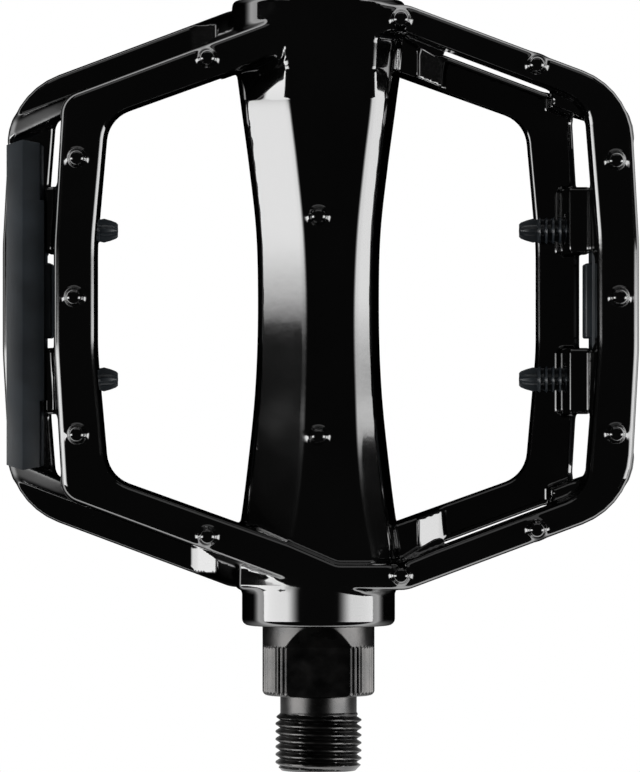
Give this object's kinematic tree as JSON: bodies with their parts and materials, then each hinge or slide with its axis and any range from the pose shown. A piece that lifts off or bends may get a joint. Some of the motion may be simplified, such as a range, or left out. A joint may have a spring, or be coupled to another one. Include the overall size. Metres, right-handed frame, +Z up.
{
  "type": "flat pedal",
  "caption": "Flat bicycle pedal with a cast hexagonal cage, gripping studs, push-in side reflectors and a left-hand threaded spindle.",
  "frame": {"origin": "centre of the spindle shoulder that seats on the crank, on the spindle axis", "axes": "+Y along the spindle from the crank to the outboard end, +X across the cage, +Z up out of the upper tread"},
  "size_m": [0.1058, 0.1277, 0.029],
  "materials": {
    "cage_paint": "gloss",
    "spindle_steel": "black oxide, satin",
    "bearing_steel": "ground",
    "zinc_steel": "zinc plated",
    "ball_steel": "polished",
    "seal_rubber": "matte",
    "cap_plastic": "satin",
    "reflector_plastic": "satin",
    "lens_plastic": "moulded prisms"
  },
  "bodies": {
    "axle": {"spindle": "spindle_steel", "outboard_cone": "bearing_steel", "lock_washer": "zinc_steel", "lock_nut": "zinc_steel"},
    "pedal": {"cage_body": "cage_paint", "inboard_cup": "bearing_steel", "outboard_cup": "bearing_steel", "inboard_seal": "seal_rubber", "dust_cap": "cap_plastic", "reflector_housing_left": "reflector_plastic", "reflector_housing_right": "reflector_plastic", "reflector_lens_left": "lens_plastic", "reflector_lens_right": "lens_plastic"},
    "inboard_ball_set": {"inboard_ball_1": "ball_steel", "inboard_ball_2": "ball_steel", "inboard_ball_3": "ball_steel", "inboard_ball_4": "ball_steel", "inboard_ball_5": "ball_steel", "inboard_ball_6": "ball_steel", "inboard_ball_7": "ball_steel", "inboard_ball_8": "ball_steel", "inboard_ball_9": "ball_steel", "inboard_ball_10": "ball_steel", "inboard_ball_11": "ball_steel"},
    "outboard_ball_set": {"outboard_ball_1": "ball_steel", "outboard_ball_2": "ball_steel", "outboard_ball_3": "ball_steel", "outboard_ball_4": "ball_steel", "outboard_ball_5": "ball_steel", "outboard_ball_6": "ball_steel", "outboard_ball_7": "ball_steel", "outboard_ball_8": "ball_steel", "outboard_ball_9": "ball_steel", "outboard_ball_10": "ball_steel"}
  },
  "joints": [
    {"name": "pedal_spin", "type": "hinge", "parent": "axle", "child": "pedal", "pos_m": [0, 0.0659, 0], "axis": [0, 1, 0], "continuous": true},
    {"name": "inboard_ball_orbit", "type": "hinge", "parent": "axle", "child": "inboard_ball_set", "pos_m": [0, 0.0166, 0], "axis": [0, 1, 0], "continuous": true},
    {"name": "outboard_ball_orbit", "type": "hinge", "parent": "axle", "child": "outboard_ball_set", "pos_m": [0, 0.0975, 0], "axis": [0, 1, 0], "continuous": true}
  ],
  "couplings": [
    {"joint": "inboard_ball_orbit", "follows": "pedal_spin", "ratio": 0.5974},
    {"joint": "outboard_ball_orbit", "follows": "pedal_spin", "ratio": 0.6079}
  ]
}
